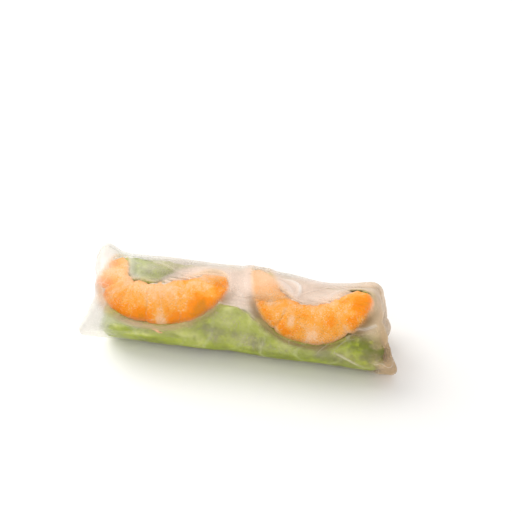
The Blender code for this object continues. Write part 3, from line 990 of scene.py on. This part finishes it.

# Creases in the paper, as ridges: (places as (x, theta), height, half width, whiteness). The whiteness makes
# the folded paper milkier and paints a highlight along each crease.
CREASES = (
    (((0.013, 77), (0.0177, 75), (0.0208, 80), (0.0221, 89), (0.0222, 98), (0.0213, 106)),
     0.0008, 0.0006, 1.3),
    (((0.0125, 81), (0.016, 87), (0.0188, 95), (0.0206, 105)), 0.0004, 0.0006, 0.5),
    (((0.0215, 107), (0.0239, 110), (0.0266, 110.5), (0.03, 108)), 0.0003, 0.0005, 0.5),
    (((0.0325, 104), (0.0344, 93), (0.037, 77), (0.0395, 69), (0.0456, 65)), 0.0004, 0.0006, 0.5),
    (((0.045, 137.5), (0.0494, 135), (0.053, 129), (0.056, 119)), 0.0006, 0.00045, 0.8),
    (((0.0577, 151), (0.057, 159), (0.0561, 169), (0.0548, 178), (0.054, 187)), 0.0004, 0.0006, 0.5),
    (((0.0592, 155), (0.0586, 166), (0.0577, 176), (0.0567, 192)), 0.0003, 0.0006, 0.4),
    (((0.0377, 171.6), (0.0419, 178.8), (0.0459, 186.6), (0.0493, 194.2), (0.0545, 201)),
     0.0005, 0.0007, 0.6),
    (((-0.0015, 108), (0.001, 112), (0.002, 120)), 0.0003, 0.0006, 0.3),
    (((-0.053, 140), (-0.056, 150), (-0.057, 165)), 0.0005, 0.001, 0.4),
    (((-0.048, 196), (-0.053, 190), (-0.058, 186)), 0.0005, 0.0009, 0.4),
)

# Tucks that gather each end: (side, theta, depth, half width in degrees, reach along the roll)
TUCKS = (
    ("right", 127, 0.0006, 7, 0.006), ("right", 164, 0.0014, 6, 0.007), ("right", 204, 0.0006, 8, 0.01),
    ("right", 250, 0.0012, 7, 0.009), ("right", 300, 0.0014, 9, 0.01), ("right", 340, 0.0011, 7, 0.008),
    ("right", 28, 0.0012, 8, 0.01), ("left", 60, 0.0008, 9, 0.008), ("left", 128, 0.0005, 9, 0.007),
    ("left", 255, 0.0012, 9, 0.01), ("left", 305, 0.0013, 8, 0.009), ("left", 350, 0.0012, 9, 0.009),
    ("left", 25, 0.001, 7, 0.008),
)

# How far the gathered paper is twisted round between an end's rim and its middle
END_TWIST = {"left": -75.0, "right": 55.0}

# The empty corner of paper that stands up at the left end: (x, theta, reach in x, reach in theta)
CORNER = (-0.0575, 58.0, 0.0045, 15.0)
CORNER_RISE = 0.0046

# Unevenness: waves all over, pleats near the ends, and crumples on their faces
WAVES = 0.00016
RIDGES = 0.00006
PLEATS = {"left": 0.00032, "right": 0.00012}
PLEAT_REACH = 0.014
FACE_CRUMPLES = 0.0009
OVER_PRAWN = -0.00005
LEAST_SHARE = 0.2
FLAP_PRESSED = 0.6
FLAP_PRESSED_REACH = 22.0


def flap_end(x):
    """The winding angle where the outer flap of the sheet ends: a wide, wavy tongue."""
    beside = (np.abs(x - FLAP_CENTRE_X) - FLAP_FLAT_HALF) / FLAP_SLOPE_LENGTH
    wave = 3.0 * np.sin(x / 0.0065) + 1.5 * np.sin(x / 0.0021 + 1.0)
    lift = -10.0 * bell(x + 0.016, 0.01) - 12.0 * bell(x - 0.043, 0.006)
    return FLAP_MIDDLE + (FLAP_SIDE - FLAP_MIDDLE) * smooth(beside) + wave + lift


def film_stations():
    """(place along the roll, inset from that end, share, way to the rim) from left to right."""
    rim_share = RIM_RADIUS / MEAN_RADIUS
    profile = []
    for step in range(RIM_STEPS + 1):
        turn = np.pi / 2 * step / RIM_STEPS
        profile.append((RIM_RADIUS * (1 - np.sin(turn)), 1 - rim_share * (1 - np.cos(turn))))
    for step in range(1, FACE_STEPS + 1):
        across = step / FACE_STEPS
        share = (1 - rim_share) * (1 - across) + HOLE_SHARE * across
        profile.append((DISH_DEPTH * across**1.5, share))
    left = [(0.0, inset, share) for inset, share in reversed(profile)]
    right = [(1.0, inset, share) for inset, share in profile]
    barrel = [(step / BARREL_STEPS, RIM_RADIUS, 1.0) for step in range(1, BARREL_STEPS)]
    return np.array(left + barrel + right)


def winding_angles(flap):
    """Angles of one station: the first turn, closest at the front, and then the outer flap."""
    plain = np.linspace(0.0, 1.0, TURN_STEPS + 1)
    turn = SHEET_START + 360.0 * (plain + 0.045 * np.sin(2 * np.pi * (plain - 0.01)))
    turn[-1] = SHEET_START + 360.0
    outer = np.linspace(SHEET_START + 360.0, flap, FLAP_STEPS + 1)[1:]
    return np.concatenate([turn, outer])


def crease_field(x, theta):
    """Height and whiteness that the creases add at each place; the whiteness is partly the folded paper's
    milkiness and partly a painted highlight.
    """
    height = np.zeros_like(x)
    white = np.zeros_like(x)
    arc = arc_length(theta)
    for places, tall, half, whiteness in CREASES:
        line = np.array(places)
        along = np.linspace(0.0, 1.0, LINE_STATIONS)
        line_x = through(line[:, 0], along)
        line_arc = np.radians(through(line[:, 1], along)) * MEAN_RADIUS
        apart = np.full_like(x, FAR)
        fade = np.zeros_like(x)
        for at_x, at_arc, at in zip(line_x, line_arc, along):
            here = np.hypot(x - at_x, arc - at_arc)
            fade = np.where(here < apart, np.sin(np.pi * (0.08 + 0.84 * at)), fade)
            apart = np.minimum(apart, here)
        height += tall * fade * (bell(apart, half) - 0.25 * bell(apart, 3 * half))
        white = np.maximum(white, whiteness * fade * bell(apart, half * 0.8))
    return height, white


def tuck_field(theta, from_rim, share, side):
    """How deep the tucks pull the paper in, near and on one end."""
    depth = np.zeros_like(theta)
    on_face = share < 1.0
    theta = theta + END_TWIST[side] * (1 - share) ** 1.3
    for at_side, at_theta, deep, half, reach in TUCKS:
        if at_side != side:
            continue
        around = angle_between(theta, at_theta) / half
        fold = np.exp(-(around**2)) - 0.35 * np.exp(-((np.abs(around) - 1.9) ** 2))
        depth += deep * fold * np.where(on_face, 1.0, np.exp(-((from_rim / reach) ** 2)))
    return depth


def tucked_in(winding, place, length, share):
    """How far the tucks of both ends pull the paper in."""
    left = tuck_field(winding, place * length, share, "left")
    right = tuck_field(winding, (1 - place) * length, share, "right")
    fade = np.where(share < 1.0, smooth((share - HOLE_SHARE) / 0.5), 1.0)
    return np.where(place < 0.5, left, right) * fade


def uneven_height(base, x, from_end, share):
    """How far small waves, pleats and crumples lift the paper."""
    height = WAVES * layered_noise(base, 0.006, 71) + RIDGES * crumple(base * [1.0, 1.6, 1.6], 0.01, 72) ** 6
    pleats = noise(base * [0.22, 2.2, 2.2], 0.0062, 73) * (1 - smooth(from_end / PLEAT_REACH))
    height = height + np.where(x < 0, PLEATS["left"], PLEATS["right"]) * pleats
    return height + FACE_CRUMPLES * smooth((1 - share) / 0.3) * layered_noise(base, 0.0075, 75)


def film_shape():
    """The sheet's grid: inner and outer points, and values along it."""
    stations = film_stations()
    winding = np.array([winding_angles(flap_end((place - 0.5) * ROLL_LENGTH)) for place, _, _ in stations])
    place, inset, share = (stations[:, column, None] for column in range(3))
    left = end_x("left", winding, share) + inset
    right = end_x("right", winding, share) - inset
    length = right - left
    x = left + place * length
    barrel = np.where(share < 1.0, 0.0, 1.0)
    corner = CORNER_RISE * patch(x, winding, *CORNER)
    out = (relief(x, winding) + corner) * share
    base = roll_point(x, winding, share=share, out=out / np.maximum(share, LEAST_SHARE))
    crease, white = crease_field(x, winding)
    height = crease * barrel + uneven_height(base, x, np.minimum(x - left, right - x), share)
    height = height - tucked_in(winding, place, length, share)
    over_prawn = smooth(-outside_prawns(x, winding) / 0.001)
    height = cover(height, over_prawn, np.maximum(height, OVER_PRAWN))
    lift = (PAPER + LAYER_GAP) * smooth((winding - SHEET_START - 360.0 + LIFT_ANGLE) / LIFT_ANGLE)
    lift = lift * (1 - FLAP_PRESSED * smooth(1 - (winding[:, -1:] - winding) / FLAP_PRESSED_REACH))
    inner = base + normals_of(base) * (lift + height + PAPER - PAPER_SEEN)[..., None]
    outer = inner + normals_of(inner) * PAPER_SEEN
    outer[..., 2] = np.maximum(outer[..., 2], PAPER_LOW.z)
    inner[..., 2] = np.maximum(inner[..., 2], PAPER_LOW.z + 0.8 * PAPER_SEEN)
    from_rim = np.minimum(place, 1 - place) * length * barrel
    return {"inner": inner, "outer": outer, "x": x, "theta": winding, "white": white * barrel,
            "from_rim": from_rim, "share": share + 0 * x}


def gap_below(shape, contents):
    """The clear way from the paper down to what lies under it, and how milky touching paper is."""
    trees = []
    for piece, touching in contents:
        places = [vertex.co.copy() for vertex in piece.data.vertices]
        faces = [tuple(face.vertices) for face in piece.data.polygons]
        trees.append((BVHTree.FromPolygons(places, faces), touching))
    inner = shape["inner"]
    normals = normals_of(inner)
    gap = np.full(inner.shape[:2], DEEPEST_GAP)
    touching_milk = np.full(inner.shape[:2], MILK_TOUCHING)
    for row in range(inner.shape[0]):
        for column in range(inner.shape[1]):
            start = Vector(inner[row, column] + normals[row, column] * RAY_START)
            ray = Vector(-normals[row, column])
            for tree, touching in trees:
                _, _, _, far = tree.ray_cast(start, ray, DEEPEST_GAP)
                if far is not None and far < gap[row, column]:
                    gap[row, column] = far
                    touching_milk[row, column] = touching
    gap = np.clip(gap - RAY_START - NO_GAP, 0.0, None)
    for _ in range(GAP_SMOOTHINGS):
        padded = np.pad(gap, 1, mode="edge")
        gap = (padded[:-2, 1:-1] + padded[2:, 1:-1] + padded[1:-1, :-2] + padded[1:-1, 2:] + 2 * gap) / 6
    return gap, touching_milk


def beside_prawns(milk, x, theta):
    """The milk made clearer over the prawns and whiter along their outlines, most on their low side."""
    outside = outside_prawns(x, theta)
    low_side = smooth((theta - LOW_SIDE_FROM) / LOW_SIDE_RAMP)
    crisp = bell(x - CRISP_X, CRISP_REACH) * low_side
    from_edge = outside - EDGE_MILK_AT + 0.0006 * low_side
    reach = EDGE_MILK_REACH * np.where(from_edge < 0, 1 - 0.6 * low_side, 1.0)
    edge = (EDGE_MILK + LOW_EDGE_MILK * low_side) * (1 - 0.4 * crisp)
    milk = cover(milk, edge * bell(from_edge, reach), 1.0)
    return cover(milk, PRAWN_CLEAR * smooth((-outside - 0.0004 - 0.0003 * low_side) / 0.0015), 0.0)


def film_milk(shape, contents):
    """How milky the paper is at each place."""
    x, theta = shape["x"], shape["theta"] % 360.0
    gap, touching = gap_below(shape, contents)
    milk = cover(touching, 1 - np.exp(-((gap / GAP_REACH) ** 1.2)), MILK_APART)
    milk = cover(milk, END_MILK * (1 - smooth(shape["from_rim"] / END_MILK_REACH)), 1.0)
    milk = cover(milk, CREASE_MILK * shape["white"], 1.0)
    milk = beside_prawns(milk, x, theta)
    from_flap = shape["theta"][:, -1:] - shape["theta"]
    for inside, reach, share, made in FLAP_BANDS:
        milk = cover(milk, share * bell(from_flap - inside, reach), made)
    off_face = smooth((shape["share"] - 0.72) / 0.16)
    for *where, change in MILK_PATCHES:
        share = abs(change) * patch(x, theta, *where) * off_face
        milk = cover(milk, share, 1.0 if change > 0 else CLEAREST)
    return cover(milk, FACE_CLEAR * smooth((0.9 - shape["share"]) / 0.3), 0.0)


def film_colour(shape):
    """The paper's colour: white at the left, where light is painted in, beige to tan and brown at the right,
    where shade is painted in over the thicker paper's tan, and warmer beside the prawns, with painted orange
    light and painted shadow.
    """
    x, theta, share, white = (shape[key][..., None] for key in ("x", "theta", "share", "white"))
    theta = theta % 360.0
    beside = outside_prawns(x, theta)
    front = 0.4 + 0.6 * bell(angle_between(theta, 165.0), 70.0)
    low_side = smooth((theta - 100.0) / 25.0) * smooth((200.0 - theta) / 30.0)
    left_face = smooth((0.92 - share) / 0.25) * (x < 0)
    # painted light and shadow beside the prawns: orange light at the left fading to dark shadow at the right
    glow = cover(np.array(FILM_PRAWN_LIGHT_LEFT), smooth((x + 0.03) / 0.04), np.array(FILM_PRAWN_SHADOW_RIGHT))
    colour = np.array(FILM_BEIGE)
    for strength, top in (
        # painted light: the left part is whitened as if brightly lit from the back left
        (smooth((-x - 0.024) / 0.03), FILM_WHITE),
        # painted shade with the thicker paper's tan: the right end's front is made tan
        (front * smooth((x - 0.03) / 0.026), FILM_TAN_AND_SHADE),
        # painted shade: the right end's lower folds are made dark brown
        (0.85 * front * smooth((x - 0.051) / 0.009), FILM_LOBE_SHADE),
        (0.85 * smooth(-beside / 0.001), FILM_OVER_PRAWN),
        # painted light and shadow along the prawns' low side
        (0.85 * low_side * bell(np.clip(beside, 0, None), 0.0022), glow),
        # partly painted highlight: creases are whitened along with their milkier folded paper
        (0.8 * white, FILM_WHITE),
        # the left end's face gets a greyer beige in place of the painted light
        (0.85 * left_face, FILM_END),
    ):
        colour = cover(colour, strength, np.array(top))
    return np.concatenate([colour, np.ones_like(x)], axis=-1)


def film_piece(outer_look, inner_look, contents):
    """The wound sheet as one closed solid; its inner faces are clearer than its outer ones."""
    shape = film_shape()
    milk = film_milk(shape, contents)
    colour = film_colour(shape).reshape(-1, 4)
    rows, columns = milk.shape
    faces, outer_count, inner_count = slab_faces(rows, columns)
    vertices = np.concatenate([shape["outer"].reshape(-1, 3), shape["inner"].reshape(-1, 3)])
    values = {"milk": np.concatenate([milk.ravel()] * 2), "film_colour": np.concatenate([colour] * 2)}
    piece = add_mesh("rice_paper_film", vertices, faces, values, [outer_look, inner_look])
    slots = np.zeros(len(faces), np.int32)
    slots[outer_count:outer_count + inner_count] = 1
    piece.data.polygons.foreach_set("material_index", slots)
    return piece


# ---- The pieces ----

prawn_material = prawn_look()
left_prawn = prawn_piece("prawn_left", prawn_material, 11)
right_prawn = prawn_piece("prawn_right", prawn_material, 14)
leaves = lettuce_piece(lettuce_look())
shred = shred_piece(prawn_material)
noodle_material = noodle_look()
core = noodle_core(noodle_material)
strands = noodle_strands(noodle_material)
film = film_piece(
    film_look("rice_paper", 1.0),
    film_look("rice_paper_inside", 0.1),
    ((left_prawn, 0.05), (right_prawn, 0.06), (leaves, 0.12), (core, 0.62), (strands, 0.62)),
)
film.visible_shadow = False

for piece, node, slot in (
    (left_prawn, "prawn_left", "prawn"),
    (right_prawn, "prawn_right", "prawn"),
    (leaves, "lettuce", "lettuce"),
    (shred, "lettuce", "prawn"),
    (core, "noodles", "noodles"),
    (strands, "noodles", "noodles"),
    (film, "rice_paper", "rice_paper"),
):
    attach(piece, "root")
    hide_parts(node)

# ---- Floor, light and camera ----

FLOOR_HALF = 1.5
FLOOR_Z = -0.0002
FLOOR_CORNERS = ((-1, -1), (1, -1), (1, 1), (-1, 1))
FLOOR_COLOUR = rgb(0.95, 0.945, 0.94)
FLOOR_PALER = rgb(0.97, 0.965, 0.96)

floor_mesh = bpy.data.meshes.new("floor")
floor_points = [(x * FLOOR_HALF, y * FLOOR_HALF, FLOOR_Z) for x, y in FLOOR_CORNERS]
floor_mesh.from_pydata(floor_points, [], [(0, 1, 2, 3)])
floor_look = Look("floor")
floor_look.set(Base_Color=floor_look.mix(floor_look.noise(0.3), FLOOR_COLOUR, FLOOR_PALER), Roughness=0.8)
floor_mesh.materials.append(floor_look.material)
put("floor", floor_mesh)

LIGHTS_FACE = Vector((0, 0, 0.01))
SKY_COLOUR = rgb(1.0, 0.99, 0.975)
SKY_STRENGTH = 0.74


def add_light(name, place, size, power, colour):
    """A square soft light at place that faces the roll."""
    lamp = bpy.data.lights.new(name, "AREA")
    lamp.size = size
    lamp.energy = power
    lamp.color = colour
    light = put(name, lamp)
    light.location = place
    light.rotation_euler = (LIGHTS_FACE - Vector(place)).to_track_quat("-Z", "Y").to_euler()


add_light("window", (-0.55, 0.25, 0.6), 0.6, 4.2, (1.0, 0.99, 0.97))
add_light("front_fill", (0.1, -0.5, 0.7), 0.6, 1.0, (1.0, 0.97, 0.94))

world = bpy.data.worlds.new("studio")
world.use_nodes = True
sky = world.node_tree.nodes["Background"].inputs
sky["Color"].default_value = SKY_COLOUR
sky["Strength"].default_value = SKY_STRENGTH
bpy.context.scene.world = world
bpy.context.scene.view_settings.view_transform = "Standard"

CAMERA_AZIMUTH = 10.0
CAMERA_ELEVATION = 42.0
CAMERA_DISTANCE = 0.48
CAMERA_LENS = 85.0
SENSOR_WIDTH = 36.0
# How far right of the picture's middle, and above it, the roll's middle stands, as shares of its width
ROLL_IN_FRAME = (-0.0277, -0.107)
LOOK_HEIGHT = 0.015

azimuth, elevation = np.radians(CAMERA_AZIMUTH), np.radians(CAMERA_ELEVATION)
back = Vector((np.sin(azimuth) * np.cos(elevation), -np.cos(azimuth) * np.cos(elevation), np.sin(elevation)))
right = Vector((np.cos(azimuth), np.sin(azimuth), 0.0))
up = back.cross(right)
frame_width = CAMERA_DISTANCE * SENSOR_WIDTH / CAMERA_LENS
middle = Vector(((PAPER_LOW.x + PAPER_HIGH.x) / 2, (PAPER_LOW.y + PAPER_HIGH.y) / 2, LOOK_HEIGHT))
aside = (right * ROLL_IN_FRAME[0] + up * ROLL_IN_FRAME[1]) * frame_width
place = middle + back * CAMERA_DISTANCE - aside
lens = bpy.data.cameras.new("camera")
lens.lens = CAMERA_LENS
lens.sensor_width = SENSOR_WIDTH
camera = put("camera", lens)
camera.matrix_world = Matrix.Translation(place) @ Matrix((right, up, back)).transposed().to_4x4()
bpy.context.scene.camera = camera


def plain(box):
    return [[float(value) for value in corner] for corner in box]
